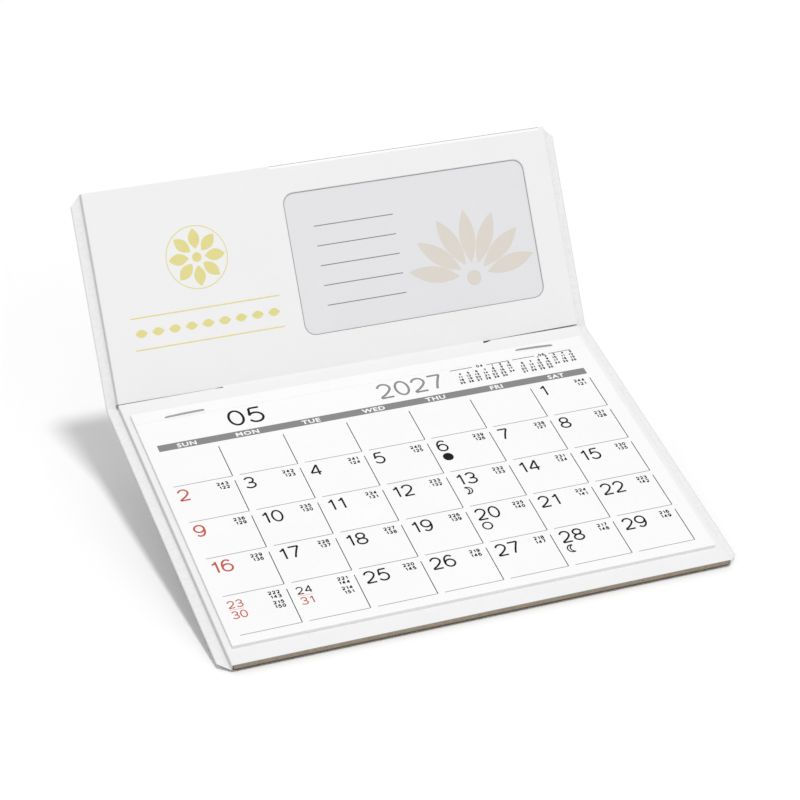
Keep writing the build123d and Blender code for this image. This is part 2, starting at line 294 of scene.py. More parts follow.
@dataclass(frozen=True)
class Finish:
    """A surface whose colour and gloss vary with a shared effect.

    Attributes:
        name: The material's name.
        light: Colour where the effect is high.
        dark: Colour where the effect is low.
        gloss: Least and greatest roughness.
        scales: The effect's scales, per metre.
        bump: Depth of the relief, in metres.
        metallic: Metallic share, the same all over.
        specular: Specular level, the same all over.
    """

    name: str
    light: Colour
    dark: Colour
    gloss: tuple[float, float]
    scales: dict[str, float]
    bump: float
    metallic: float = 0.0
    specular: float = 0.5

    def effect(self, effects: Effects) -> bpy.types.NodeTree:
        """The shared effect that this finish varies with."""
        return effects.grain

    def toned(self, share: float) -> tuple[float, ...]:
        """A share of the light colour, as a socket takes it."""
        return (*(share * part for part in self.light), 1.0)

    def colour(self, board: NodeBoard, place: Socket, shade: Socket) -> Socket:
        """Colour over the surface.

        Args:
            board: The material's board.
            place: Object coordinates.
            shade: The effect's shade, from 0 to 1.

        Returns:
            The socket that feeds the base colour.
        """
        return board.mix(shade, (*self.dark, 1.0), (*self.light, 1.0))

    def material(self, effects: Effects) -> bpy.types.Material:
        """Build the material once.

        Args:
            effects: The shared groups.

        Returns:
            The material, made or found.
        """
        found = bpy.data.materials.get(self.name)
        if found:
            return found
        made = bpy.data.materials.new(self.name)
        made.use_nodes = True
        made.node_tree.nodes.clear()
        board = NodeBoard(made.node_tree)
        place = board.add("ShaderNodeTexCoord").outputs["Object"]
        group = board.add("ShaderNodeGroup", node_tree=self.effect(effects))
        for name, value in {"Vector": place, **self.scales}.items():
            board.feed(group.inputs[name], value)
        shade = group.outputs["Shade"]
        relief = board.add("ShaderNodeBump", {"Height": group.outputs["Height"], "Distance": self.bump})
        shader = board.add(
            "ShaderNodeBsdfPrincipled",
            {
                "Base Color": self.colour(board, place, shade),
                "Roughness": board.spread(shade, *self.gloss),
                "Metallic": self.metallic,
                "Specular IOR Level": self.specular,
                "Normal": relief.outputs["Normal"],
            },
        )
        board.add("ShaderNodeOutputMaterial", {"Surface": shader.outputs[0]})
        return made


@dataclass(frozen=True)
class ToneLine:
    """A line of painted shade along both sides of the cover.

    Attributes:
        middle: Where it runs, in metres from the middle of the cover.
        half: How far it reaches to both sides, in metres.
        share: Colour of the painted shade, as a share of the skin's.
    """

    middle: float
    half: float
    share: float


@dataclass(frozen=True)
class SkinFinish(Finish):
    """White cover skin with painted shade: darker lines on the sleeve's wall, at the weld at its foot and at the
    flange's edge, darker hollows of an emboss on the flanges outside the weld, and a grey cut edge in front, all
    painted shade.

    Attributes:
        wall: Painted shade on the sleeve's wall.
        weld: Painted shade at the weld at the wall's foot, outside which the skin is embossed.
        edge: Painted shade at the flange's edge.
        line_core: Share of a line's half that has its full tone.
        hollow_scale: Scale of the emboss, per metre.
        hollow_detail: Detail of the emboss.
        hollow_level: Level over which the emboss's hollows get painted shade.
        hollow_share: Colour of the painted shade in the emboss's hollows, as a share of the skin's.
        slope: Slope of the leaf that has a cut edge in front, in radians.
        front: Where that edge is along the slope, in metres, or None.
        front_half: Half of its length, in metres; outside it runs on along the mitres at 45 degrees.
        front_depth: How far behind the edge its colour goes, in metres.
        front_colour: Colour of the cut edge, a grey that is painted shade.
    """

    # Lines of painted shade, each a darker share of the skin's colour.
    wall: ToneLine = ToneLine(0.0785, 0.0002, 0.8)
    weld: ToneLine = ToneLine(0.07884, 0.00024, 0.9)
    edge: ToneLine = ToneLine(0.0819, 0.0004, 0.78)
    line_core: float = 0.1
    hollow_scale: float = 900.0
    hollow_detail: float = 2.0
    hollow_level: float = 0.52
    hollow_share: float = 0.93
    slope: float = 0.0
    front: float | None = None
    front_half: float = 0.0785
    front_depth: float = 0.00003
    # Painted shade: the grey of the cut edge in front.
    front_colour: Colour = (0.31, 0.31, 0.315)

    def colour(self, board: NodeBoard, place: Socket, shade: Socket) -> Socket:
        """White over the sleeve, with painted shade in the emboss's hollows outside it, on its lines and on its cut
        edge.

        Args:
            board: The material's board.
            place: Object coordinates.
            shade: The effect's shade, from 0 to 1.

        Returns:
            The socket that feeds the base colour.
        """
        plain = super().colour(board, place, shade)
        parts = board.add("ShaderNodeSeparateXYZ", {"Vector": place}).outputs
        out = board.math("ABSOLUTE", parts["X"])
        # Painted shade: the emboss's hollows on the flanges are painted darker.
        hollows = board.noise(place, self.hollow_scale, detail=self.hollow_detail)
        outside = board.math("GREATER_THAN", out, self.weld.middle)
        pressed = board.math("MULTIPLY", outside, board.math("GREATER_THAN", hollows, self.hollow_level))
        toned = board.mix(pressed, plain, self.toned(self.hollow_share))
        # Painted shade: darker lines on the sleeve's wall, at the weld at its foot and at the flange's edge.
        for line in (self.wall, self.weld, self.edge):
            off = board.math("ABSOLUTE", board.math("SUBTRACT", out, line.middle))
            mask = board.fade(off, self.line_core * line.half, line.half)
            toned = board.mix(mask, toned, self.toned(line.share))
        if self.front is None:
            return toned
        # Painted shade: the cut faces in front and along the mitres are painted dark grey.
        level = board.math("MULTIPLY", parts["Y"], math.cos(self.slope))
        along = board.math("ADD", level, board.math("MULTIPLY", parts["Z"], math.sin(self.slope)))
        mitre = board.math("MAXIMUM", board.math("SUBTRACT", out, self.front_half), 0.0)
        cut = board.math("LESS_THAN", board.math("SUBTRACT", along, mitre), self.front + self.front_depth)
        return board.mix(cut, toned, (*self.front_colour, 1.0))


@dataclass(frozen=True)
class BoardFinish(Finish):
    """Raw chipboard, whose cut edge can be darkened at its foot with painted contact shade.

    Attributes:
        foot: Heights between which the painted contact shade at the foot fades out, in metres, or None.
        foot_share: Colour of the painted contact shade at the foot, as a share of the board's.
    """

    foot: tuple[float, float] | None = None
    foot_share: float = 0.16

    def effect(self, effects: Effects) -> bpy.types.NodeTree:
        """Board shows its fibres."""
        return effects.fibre

    def colour(self, board: NodeBoard, place: Socket, shade: Socket) -> Socket:
        """Fibres, with painted contact shade at the foot.

        Args:
            board: The material's board.
            place: Object coordinates.
            shade: The effect's shade, from 0 to 1.

        Returns:
            The socket that feeds the base colour.
        """
        plain = super().colour(board, place, shade)
        if self.foot is None:
            return plain
        # Painted shade: the board darkens towards the desk, where its contact shadow falls.
        level = board.add("ShaderNodeSeparateXYZ", {"Vector": place}).outputs["Z"]
        return board.mix(board.fade(level, *self.foot), plain, self.toned(self.foot_share))


PAPER_SCALES = {"Fine Scale": 3500.0, "Mottle Scale": 60.0}
INK_SCALES = {"Fine Scale": 6000.0, "Mottle Scale": 500.0}


def ink_finish(ink: Ink, light: Colour, share: float = 0.8) -> Finish:
    """Finish of a matt ink.

    Args:
        ink: Which ink.
        light: Its colour where it lies thick.
        share: How dark it is where it lies thin, as a share of that.

    Returns:
        The finish.
    """
    dark = tuple(share * part for part in light)
    return Finish(ink.value, light, dark, (0.6, 0.8), INK_SCALES, 0.000002, specular=0.08)


# The skin's material carries painted shade: darker lines, darker emboss hollows and grey cut edges.
SKIN = SkinFinish("cover_skin_white_painted_shade", (0.80, 0.80, 0.80), (0.75, 0.75, 0.75), (0.38, 0.52), PAPER_SCALES, 0.00002)
# Painted highlight: a white lighter than the skin, for rolled edges that catch the light.
PAINTED_HIGHLIGHT = Finish("painted_highlight_white", (0.89, 0.89, 0.89), (0.86, 0.86, 0.86), (0.2, 0.3), PAPER_SCALES, 0.00001)
# Painted shade: a dark grey for shaded gaps and cut edges.
PAINTED_SHADE = Finish(
    "painted_shade_grey", (0.34, 0.34, 0.345), (0.28, 0.28, 0.285), (0.6, 0.75), PAPER_SCALES, 0.00001, specular=0.1
)
BOARD = BoardFinish("raw_chipboard", (0.46, 0.38, 0.275), (0.15, 0.115, 0.075), (0.8, 0.95), {}, 0.0001)
LINED_BOARD = Finish("lined_board", (0.78, 0.78, 0.775), (0.70, 0.70, 0.695), (0.6, 0.75), PAPER_SCALES, 0.00002)
PAPER = Finish("pad_paper_white", (0.87, 0.862, 0.867), (0.81, 0.802, 0.807), (0.62, 0.78), PAPER_SCALES, 0.00001)
# Card stock's bluish white, darkened below the skin's as painted shade of its recess behind the window.
CARD = Finish("card_stock_painted_recess_shade", (0.715, 0.715, 0.73), (0.665, 0.665, 0.68), (0.45, 0.6), PAPER_SCALES, 0.00001)
WIRE = Finish("staple_wire_bright", (0.47, 0.47, 0.48), (0.26, 0.26, 0.27), (0.22, 0.42), INK_SCALES, 0.000004, 1.0)
DESK = Finish("pale_desk", (0.935, 0.935, 0.935), (0.92, 0.92, 0.92), (0.8, 0.9), PAPER_SCALES, 0.0, 0.0, 0.1)
GOLD = Finish(
    Ink.GOLD.value, (0.72, 0.665, 0.285), (0.60, 0.535, 0.185), (0.3, 0.45), INK_SCALES, 0.000004, 0.25
)
INKS = {
    Ink.BLACK: ink_finish(Ink.BLACK, (0.012, 0.011, 0.012)),
    Ink.GREY: ink_finish(Ink.GREY, (0.30, 0.30, 0.305), 0.92),
    Ink.BAND: ink_finish(Ink.BAND, (0.235, 0.235, 0.24), 0.92),
    Ink.RED: ink_finish(Ink.RED, (0.70, 0.105, 0.06), 0.9),
    Ink.WHITE: ink_finish(Ink.WHITE, (0.88, 0.88, 0.88), 0.95),
    Ink.GOLD: GOLD,
    Ink.BEIGE: ink_finish(Ink.BEIGE, (0.66, 0.62, 0.56), 0.95),
    Ink.RULE: ink_finish(Ink.RULE, (0.21, 0.21, 0.22), 0.95),
}


# Pages


def reach_of(node: bpy.types.Object, page: Matrix) -> tuple[Vector, Vector]:
    """Lowest and highest corner of a node on a page, in millimetres.

    Args:
        node: A CAD node.
        page: From millimetres on the page to the frame.

    Returns:
        The two corners.
    """
    to_page = page.inverted() @ node.matrix_world
    places = [to_page @ vertex.co for vertex in node.data.vertices]
    return Vector(map(min, zip(*places))), Vector(map(max, zip(*places)))


def level_of(node: bpy.types.Object, page: Matrix) -> float:
    """Height of a node's highest point over a page, in millimetres."""
    return reach_of(node, page)[1].z


def width_of(node: str) -> float:
    """Width of a CAD node along the fold, in millimetres."""
    low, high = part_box(node)
    return (high[0] - low[0]) / MM


@dataclass(frozen=True)
class Crease:
    """The crease that shows in front, where the top of the base and the front of the panel meet.

    Attributes:
        fold: The fold line's middle, in metres.
        slope: The base's slope over the desk, in radians.
        turn: How far the panel is turned up from the base, in radians.
        front_level: Height of a leaf's front face over the fold line, in millimetres.
    """

    fold: Vector
    slope: float
    turn: float
    front_level: float

    @classmethod
    def from_frame(cls, frame: Frame) -> "Crease":
        """Read the fold from the frame's joints.


        Returns:
            The crease.
        """
        joints = {joint["name"]: joint for joint in frame["joints"]}
        up = joints["card_slide"]["axis"]
        turn = math.radians(joints["panel_fold"]["range_deg"][1])
        flat = cls(Vector(joints["panel_fold"]["pos_m"]), math.atan2(up[2], up[1]) - turn, turn, 0.0)
        top = level_of(frame["nodes"]["base_top_skin"], flat.at_fold(flat.slope))
        return replace(flat, front_level=top)

    @property
    def point(self) -> Vector:
        """Middle of the crease, in metres."""
        return self.base_page() @ Vector((0, 0, 0))

    def at_fold(self, angle: float) -> Matrix:
        """Millimetres from the fold line, on a leaf at an angle over the desk, to the frame's metres."""
        return Matrix.Translation(self.fold) @ Matrix.Rotation(angle, 4, "X") @ Matrix.Scale(MM, 4)

    def base_page(self, lift: float = 0.0) -> Matrix:
        """Page on top of the base: x to the right, y back from the crease, z up from the base's face plus a lift."""
        back = -self.front_level * math.tan(self.turn / 2)
        return self.at_fold(self.slope) @ Matrix.Translation((0, back, self.front_level + lift))

    def panel_page(self, lift: float = 0.0) -> Matrix:
        """Page on the front of the panel: x to the right, y up from the crease, z out of its face plus a lift."""
        up = self.front_level * math.tan(self.turn / 2)
        return self.at_fold(self.slope + self.turn) @ Matrix.Translation((0, up, self.front_level + lift))


# Figures


@dataclass(frozen=True)
class Bow:
    """An elliptic stroke, in a unit box.

    Attributes:
        x: Its middle.
        y: Its middle.
        wide: Half of its width.
        tall: Half of its height.
        start: Where it starts, in degrees from the right, anticlockwise.
        end: Where it ends; a turn further on it is closed.
    """

    x: float
    y: float
    wide: float
    tall: float
    start: float
    end: float

    @property
    def closed(self) -> bool:
        """Whether it is a whole ellipse."""
        return abs(self.end - self.start) >= 360

    def points(self, steps: int) -> list[Point]:
        """Points along it.

        Args:
            steps: Steps in a quarter turn.

        Returns:
            The points, without the last one where it is closed.
        """
        sweep = self.end - self.start
        count = max(2, math.ceil(abs(sweep) / 90 * steps))
        turns = [math.radians(self.start + sweep * i / count) for i in range(count + (0 if self.closed else 1))]
        return [(self.x + self.wide * math.cos(turn), self.y + self.tall * math.sin(turn)) for turn in turns]


@dataclass(frozen=True)
class Path:
    """A stroke through points, in a unit box."""

    corners: tuple[Point, ...]
    closed: bool = False

    def points(self, steps: int) -> list[Point]:
        """The points themselves."""
        return list(self.corners)


def path(*corners: Point) -> Path:
    """A stroke, or part of one, through points."""
    return Path(corners)


@dataclass(frozen=True)
class Figure:
    """A figure in a unit box.

    Attributes:
        width: Its width, as a share of a plain figure's.
        strokes: Its strokes, each of one or more parts end to end.
        turned: Whether it is drawn upside down.
    """

    width: float
    strokes: tuple[tuple[Bow | Path, ...], ...]
    turned: bool = False


SIX = ((Bow(0.5, 0.32, 0.49, 0.32, 0, 360),), (Bow(0.53, 0.5, 0.52, 0.5, 48, 180), path((0.01, 0.32))))
FIGURES = {
    "0": Figure(1.0, ((Bow(0.5, 0.5, 0.5, 0.5, 0, 360),),)),
    "1": Figure(
        0.74,
        ((path((0.22, 0.77), (0.54, 0.83), (0.74, 0.92), (0.82, 1.0)),), (path((0.82, 1.0), (0.82, 0.0)),)),
    ),
    "2": Figure(
        1.0,
        (
            (Bow(0.5, 0.7, 0.48, 0.3, 168, -28), path((0.74, 0.4), (0.42, 0.22), (0.12, 0.1), (0.0, 0.0))),
            (path((0.0, 0.0), (1.0, 0.0)),),
        ),
    ),
    "3": Figure(
        1.0,
        (
            (Bow(0.48, 0.745, 0.44, 0.255, 158, -90), path((0.36, 0.49))),
            (path((0.36, 0.51)), Bow(0.48, 0.255, 0.51, 0.255, 90, -158)),
        ),
    ),
    "4": Figure(
        1.05,
        ((path((0.76, 0.0), (0.76, 1.0)),), (path((0.76, 1.0), (0.0, 0.27)),), (path((0.0, 0.27), (1.0, 0.27)),)),
    ),
    "5": Figure(
        1.0,
        (
            (path((0.92, 1.0), (0.2, 1.0)),),
            (path((0.2, 1.0), (0.08, 0.48)),),
            (Bow(0.47, 0.33, 0.51, 0.33, 145, -155),),
        ),
    ),
    "6": Figure(1.0, SIX),
    "7": Figure(
        1.0,
        ((path((0.0, 1.0), (1.0, 1.0)),), (path((1.0, 1.0), (0.74, 0.66), (0.52, 0.32), (0.36, 0.0)),)),
    ),
    "8": Figure(1.0, ((Bow(0.5, 0.755, 0.42, 0.245, 0, 360),), (Bow(0.5, 0.255, 0.5, 0.255, 0, 360),))),
    "9": Figure(1.0, SIX, turned=True),
}
PLAIN_WIDTH = 0.66


@dataclass(frozen=True)
class Type:
    """A size and cut of the figures.

    Attributes:
        height: Height of a figure, in millimetres.
        width: Width of a plain figure, as a share of its height.
        stroke: Width of a stroke, as a share of the height.
        gap: Space between figures, as a share of the height.
        steps: Steps on a quarter of a curve.
    """

    height: float
    width: float = PLAIN_WIDTH
    stroke: float = 0.12
    gap: float = 0.11
    steps: int = 4


class TypeFoundry:
    """Cuts figures as closed meshes, one unit tall and one unit thick, and keeps them for reuse."""

    BOLDNESS = 0.14
    WELD = 0.0001

    def __init__(self) -> None:
        """Start with an empty case."""
        self.case: dict[tuple[str, Type], tuple[bpy.types.Mesh, float]] = {}

    def _mesh_of(self, curve: bpy.types.Curve) -> bpy.types.Mesh:
        """Turn a curve into a mesh.

        Args:
            curve: The curve, which is dropped.

        Returns:
            The mesh.
        """
        line = bpy.data.objects.new("figures", curve)
        bpy.context.scene.collection.objects.link(line)
        bpy.context.view_layer.update()
        mesh = bpy.data.meshes.new_from_object(line.evaluated_get(bpy.context.evaluated_depsgraph_get()))
        bpy.data.objects.remove(line)
        bpy.data.curves.remove(curve)
        return mesh

    def _drawn(self, text: str, kind: Type) -> bpy.types.Mesh:
        """Draw figures with a round pen.

        Args:
            text: The figures.
            kind: Their cut.

        Returns:
            Their mesh, one unit tall.
        """
        curve = bpy.data.curves.new("figures", "CURVE")
        curve.dimensions = "3D"
        curve.bevel_depth = kind.stroke / 2
        curve.bevel_resolution = 0
        curve.use_fill_caps = True
        left = 0.0
        for figure in (FIGURES[mark] for mark in text):
            reach = figure.width * kind.width - kind.stroke
            for stroke in figure.strokes:
                points = [point for part in stroke for point in part.points(kind.steps)]
                if figure.turned:
                    points = [(1 - x, 1 - y) for x, y in points]
                spline = curve.splines.new("POLY")
                spline.points.add(len(points) - 1)
                spline.use_cyclic_u = stroke[0].closed
                for place, (x, y) in zip(spline.points, points):
                    up = kind.stroke / 2 + y * (1 - kind.stroke)
                    place.co = (left + kind.stroke / 2 + x * reach, up, 0.0, 1.0)
            left += figure.width * kind.width + kind.gap
        return self._mesh_of(curve)

    def _set(self, text: str, kind: Type) -> bpy.types.Mesh:
        """Set capitals in the built-in cut, made as bold as the pen.

        Args:
            text: The capitals.
            kind: Their cut.

        Returns:
            Their mesh, one unit tall.
        """
        curve = bpy.data.curves.new("capitals", "FONT")
        curve.body = text
        curve.extrude = kind.stroke / 2
        curve.offset = self.BOLDNESS * kind.stroke
        curve.space_character = 1.0 + kind.gap
        curve.resolution_u = kind.steps
        mesh = self._mesh_of(curve)
        tall = max(vertex.co.y for vertex in mesh.vertices)
        mesh.transform(Matrix.Diagonal((kind.width / PLAIN_WIDTH / tall, 1 / tall, 1.0, 1.0)))
        return mesh

    def cut(self, text: str, kind: Type) -> tuple[bpy.types.Mesh, float]:
        """Cut a line of figures or capitals, or take it from the case.

        Args:
            text: The line.
            kind: Its cut; its height is left to the printer.

        Returns:
            The closed mesh, one unit tall with its start and underside at zero, and its width.
        """
        key = (text, kind)
        if key in self.case:
            return self.case[key]
        mesh = self._drawn(text, kind) if text.isdigit() else self._set(text, kind)
        shape = bmesh.new()
        shape.from_mesh(mesh)
        bmesh.ops.remove_doubles(shape, verts=shape.verts, dist=self.WELD)
        bmesh.ops.translate(shape, verts=shape.verts, vec=(0, 0, kind.stroke / 2))
        bmesh.ops.scale(shape, verts=shape.verts, vec=(1, 1, 1 / kind.stroke))
        bmesh.ops.recalc_face_normals(shape, faces=shape.faces)
        width = max(vertex.co.x for vertex in shape.verts)
        shape.to_mesh(mesh)
        shape.free()
        self.case[key] = (mesh, width)
        return self.case[key]


# Workshop and print


def faces_round(verts: list[bmesh.types.BMVert]) -> list[bmesh.types.BMFace]:
    """Faces that meet at some vertices."""
    return list({face for vert in verts for face in vert.link_faces})


def slab(shape: Shape, low: Vector, high: Vector, page: Matrix) -> list[bmesh.types.BMFace]:
    """Add a box between two corners.

    Args:
        shape: Where it is added.
        low: Its lowest corner on the page.
        high: Its highest corner.
        page: From the page to the shape.

    Returns:
        Its faces.
    """
    place = Matrix.Translation((low + high) / 2) @ Matrix.Diagonal((*(high - low), 1.0))
    return faces_round(bmesh.ops.create_cube(shape, size=1.0, matrix=page @ place)["verts"])


@dataclass
class Workshop:
    """What all sub-assemblies work with.

    Attributes:
        crease: The fold, which places the pages of base and panel.
        effects: The shared node groups.
        foundry: Where figures are cut.
    """

    frame: Frame
    crease: Crease
    effects: Effects = field(default_factory=Effects)
    foundry: TypeFoundry = field(default_factory=TypeFoundry)

    def node(self, name: str) -> bpy.types.Object:
        """A CAD node."""
        return self.frame["nodes"][name]

    def dress(self, finish: Finish, *nodes: str) -> None:
        """Give CAD nodes a finish.

        Args:
            finish: The finish.
            nodes: The nodes' names.
        """
        for name in nodes:
            mesh = self.node(name).data
            mesh.materials.clear()
            mesh.materials.append(finish.material(self.effects))
            LOG.info("dressed %s in %s", name, finish.name)

    def piece(self, shape: Shape, name: str, *finishes: Finish) -> bpy.types.Object:
        """Turn a bmesh into an object at the origin.

        Args:
            shape: The finished bmesh, which is freed.
            name: The object's name.
            finishes: Its finishes, in the order of its materials.

        Returns:
            The object, linked to the scene.
        """
        mesh = bpy.data.meshes.new(name)
        shape.to_mesh(mesh)
        shape.free()
        for finish in finishes:
            mesh.materials.append(finish.material(self.effects))
        made = bpy.data.objects.new(name, mesh)
        bpy.context.scene.collection.objects.link(made)
        LOG.info("made %s", name)
        return made


class PrintRun:
    """Thin closed shapes in several inks on one page, in millimetres."""

    FILM = 0.003
    LIFT = 0.002

    def __init__(self, shop: Workshop, *inks: Ink) -> None:
        """Start a clean page.

        Args:
            shop: The workshop.
            inks: The inks of this run, in the order of its materials.
        """
        self.shop = shop
        self.inks = inks
        self.shape = bmesh.new()

    def _paint(self, faces: list[bmesh.types.BMFace], ink: Ink) -> None:
        """Give faces an ink."""
        for face in faces:
            face.material_index = self.inks.index(ink)

    def _raise(self, verts: list[bmesh.types.BMVert], ink: Ink) -> None:
        """Turn flat faces into closed shapes as thick as the film.

        Args:
            verts: Their vertices.
            ink: Their ink.
        """
        made = bmesh.ops.extrude_face_region(self.shape, geom=faces_round(verts), use_keep_orig=True)["geom"]
        lifted = [part for part in made if isinstance(part, bmesh.types.BMVert)]
        bmesh.ops.translate(self.shape, verts=lifted, vec=(0, 0, self.FILM))
        around = faces_round(verts + lifted)
        bmesh.ops.recalc_face_normals(self.shape, faces=around)
        self._paint(around, ink)

    def bar(self, ink: Ink, left: float, bottom: float, right: float, top: float) -> None:
        """Print a rectangle, given by its sides."""
        corners = Vector((left, bottom, 0)), Vector((right, top, self.FILM))
        self._paint(slab(self.shape, *corners, Matrix.Identity(4)), ink)

    def rule(self, ink: Ink, left: float, right: float, level: float, line: float) -> None:
        """Print a level line, given by its ends, its middle and its width."""
        self.bar(ink, left, level - line / 2, right, level + line / 2)

    def disc(self, ink: Ink, x: float, y: float, radius: float, steps: int = 28) -> None:
        """Print a filled circle.

        Args:
            ink: Its ink.
            x: Its middle.
            y: Its middle.
            radius: Its radius.
            steps: Points of its outline.
        """
        place = Matrix.Translation((x, y, 0))
        circle = bmesh.ops.create_circle(self.shape, cap_ends=True, radius=radius, segments=steps, matrix=place)
        self._raise(circle["verts"], ink)

    def ring(self, ink: Ink, x: float, y: float, radius: float, line: float, steps: int = 28) -> None:
        """Print a circle's line, drawn inwards from its radius.

        Args:
            ink: Its ink.
            x: Its middle.
            y: Its middle.
            radius: Its outer radius.
            line: The line's width.
            steps: Points of its outline.
        """
        place = Matrix.Translation((x, y, 0))
        verts = []
        for reach in (radius, radius - line):
            verts += bmesh.ops.create_circle(self.shape, radius=reach, segments=steps, matrix=place)["verts"]
        bmesh.ops.bridge_loops(self.shape, edges=list({edge for vert in verts for edge in vert.link_edges}))
        self._raise(verts, ink)

    def arc(
        self, ink: Ink, x: float, y: float, radius: float, line: float, middle: float, half: float, steps: int = 18
    ) -> None:
        """Print part of a circle's line, drawn inwards from its radius.

        Args:
            ink: Its ink.
            x: The circle's middle.
            y: The circle's middle.
            radius: Its outer radius.
            line: The line's width.
            middle: Where the middle of the part is, in radians from the right.
            half: Half of the part, in radians.
            steps: Points along it.
        """
        verts = bmesh.ops.create_grid(self.shape, x_segments=steps, y_segments=1, size=0.5)["verts"]
        for vert in verts:
            angle = middle + 2 * half * vert.co.x
            reach = radius + line * (vert.co.y - 0.5)
            vert.co = (x + reach * math.cos(angle), y + reach * math.sin(angle), 0.0)
        self._raise(verts, ink)

    def petal(self, ink: Ink, root: Vector, angle: float, length: float, width: float, steps: int = 16) -> None:
        """Print a petal, a circle drawn out to a length and pinched at both ends.

        Args:
            ink: Its ink.
            root: Where it starts on the page.
            angle: Which way it points, in radians from the right.
            length: From its root to its tip.
            width: Across its middle.
            steps: Points of its outline.
        """
        verts = bmesh.ops.create_circle(self.shape, cap_ends=True, radius=0.5, segments=steps)["verts"]
        for vert in verts:
            vert.co.y *= math.sqrt(max(0.0, 1.0 - 4.0 * vert.co.x * vert.co.x))
        place = Matrix.Translation((root.x, root.y, 0)) @ Matrix.Rotation(angle, 4, "Z")
        size = Matrix.Translation((length / 2, 0, 0)) @ Matrix.Diagonal((length, width, 1.0, 1.0))
        bmesh.ops.transform(self.shape, matrix=place @ size, verts=verts)
        self._raise(verts, ink)

    def figures(
        self, ink: Ink, text: str, kind: Type, x: float, foot: float, anchor: Anchor = Anchor.LEFT, films: int = 1
    ) -> None:
        """Print a line of figures.

        Args:
            ink: Its ink.
            text: The figures.
            kind: Their size and cut.
            x: Where the anchored end stands.
            foot: The line that they stand on.
            anchor: Which end is at x.
            films: How many films thick it is; two show over other print.
        """
        cut, width = self.shop.foundry.cut(text, kind)
        place = Matrix.Translation((x - anchor.value * width * kind.height, foot, 0))
        mesh = cut.copy()
        mesh.transform(place @ Matrix.Diagonal((kind.height, kind.height, films * self.FILM, 1.0)))
        mesh.polygons.foreach_set("material_index", [self.inks.index(ink)] * len(mesh.polygons))
        self.shape.from_mesh(mesh)
        bpy.data.meshes.remove(mesh)

    def issue(self, name: str, page: Matrix, body: str) -> None:
        """Lay the print on its page.

        Args:
            name: The piece's name.
            page: From millimetres on the page to the frame.
            body: The CAD body that carries it.
        """
        page = page @ Matrix.Translation((0, 0, self.LIFT))
        bmesh.ops.transform(self.shape, matrix=page, verts=self.shape.verts)
        piece = self.shop.piece(self.shape, name, *(INKS[ink] for ink in self.inks))
        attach(piece, body)


# Sub-assemblies


@dataclass
class BentStrip:
    """A stretch of skin that bends at a fold, in millimetres.

    Attributes:
        name: The piece's name.
        node: The CAD node that it stands for.
        bend: Its bend at rest, in radians.
        inner: Radius of its hollow side.
        rise: Height of the bend's middle over the crease line.
        bodies: The bodies before and after it; not used.
        weld: Width of the double skin at both ends, or 0.
        steps: Steps round the bend.
        skin: Thickness of the skin.
        lap: How far its ends run on to meet the flat skin.
        inset: How far it stays inside the CAD node's width at both sides.
        sharp: Angle from which an edge stays sharp, in degrees.
    """

    name: str
    node: str
    bend: float
    inner: float
    rise: float
    bodies: tuple[str, str]
    weld: float = 0.0
    steps: int = 14
    skin: float = 0.25
    lap: float = 0.02
    inset: float = 0.001
    sharp: float = 30.0

    # Faces at the edges of an end's square, each edge having two; a square inside the sweep has more.
    END_FACES = 8

    def _swept(self, shape: Shape, left: float, right: float, inner: float) -> None:
        """Sweep one strip between two places along the fold, from an inner radius out to the back of the skin.

        Args:
            shape: Where it is added.
            left: Its left end.
            right: Its right end.
            inner: Radius of its hollow side.
        """
        middle = Vector((0, -self.rise * math.tan(self.bend / 2), self.rise))
        outer = self.inner + self.skin
        section = Matrix.Translation(((left + right) / 2, middle.y - self.lap, middle.z - (inner + outer) / 2))
        size = Matrix.Diagonal((right - left, outer - inner, 1.0, 1.0))
        flat = section @ Matrix.Rotation(math.pi / 2, 4, "X") @ size
        verts = bmesh.ops.create_grid(shape, x_segments=1, y_segments=1, size=0.5, matrix=flat)["verts"]
        face = verts[0].link_faces[0]
        run = Vector((0, self.lap, 0))
        for step in (run, None, Matrix.Rotation(self.bend, 3, "X") @ run):
            if step is None:
                made = bmesh.ops.spin(
                    shape, geom=[face, *face.edges, *face.verts], cent=middle, axis=(1, 0, 0),
                    angle=self.bend, steps=self.steps, use_merge=False,
                )["geom_last"]
            else:
                made = bmesh.ops.extrude_face_region(shape, geom=[face], use_keep_orig=True)["geom"]
                bmesh.ops.translate(shape, verts=[v for v in made if isinstance(v, bmesh.types.BMVert)], vec=step)
            fresh = next(part for part in made if isinstance(part, bmesh.types.BMFace))
            if face.is_valid and sum(len(edge.link_faces) for edge in face.edges) > self.END_FACES:
                shape.faces.remove(face)
            face = fresh

    def build(self, shop: Workshop, crease_line: Matrix) -> None:
        """Model the strip.

        Args:
            shop: The workshop.
            crease_line: From millimetres about the crease line to the frame.
        """
        shape = bmesh.new()
        half = width_of(self.node) / 2 - self.inset
        self._swept(shape, -half, half, self.inner)
        if self.weld:
            self._swept(shape, -half, -half + self.weld, self.inner - self.skin)
            self._swept(shape, half - self.weld, half, self.inner - self.skin)
        bmesh.ops.transform(shape, matrix=crease_line, verts=shape.verts)
        bmesh.ops.recalc_face_normals(shape, faces=shape.faces)
        for face in shape.faces:
            face.smooth = True
        for edge in shape.edges:
            edge.smooth = edge.calc_face_angle(math.pi) < math.radians(self.sharp)
        piece = shop.piece(shape, self.name, SKIN)
        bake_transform(piece)
        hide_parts(self.node)


